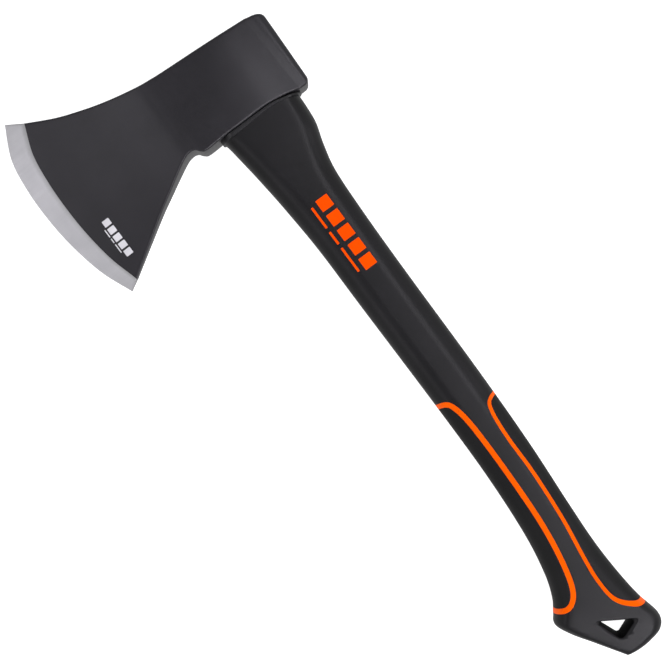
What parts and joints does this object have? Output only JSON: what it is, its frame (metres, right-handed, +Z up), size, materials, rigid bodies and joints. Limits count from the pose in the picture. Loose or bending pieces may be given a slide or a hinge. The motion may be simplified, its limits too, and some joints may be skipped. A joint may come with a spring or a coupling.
{
  "type": "axe",
  "caption": "Hand axe with a black forged head, bright ground edge and flat poll, on a black overmoulded fibreglass handle with orange accent lines and a hanging hole.",
  "frame": {"origin": "middle of the underside of the bounding box, with the axe lying flat on its cheek", "axes": "+X along the handle from the head to the pommel, +Y towards the poll, so the cutting edge faces -Y, and +Z up through the thickness of the head"},
  "size_m": [0.4548, 0.1676, 0.03],
  "materials": {
    "coated_steel": "satin black coat over forged steel, ground bright at the edge",
    "dark_resin": "smooth cast resin",
    "collar_plastic": "satin",
    "glass_fibre": "pultruded, matte",
    "orange_plastic": "satin",
    "soft_black": "matte soft overmould",
    "grip_black": "matte soft overmould, finely grained"
  },
  "bodies": {
    "root": {"axe_head": "coated_steel", "eye_resin": "dark_resin", "shoulder_collar": "collar_plastic", "fibre_core": "glass_fibre", "inner_jacket": "orange_plastic", "outer_cover": "soft_black", "front_grip_pad": "grip_black", "rear_grip_pad": "grip_black"}
  },
  "joints": []
}
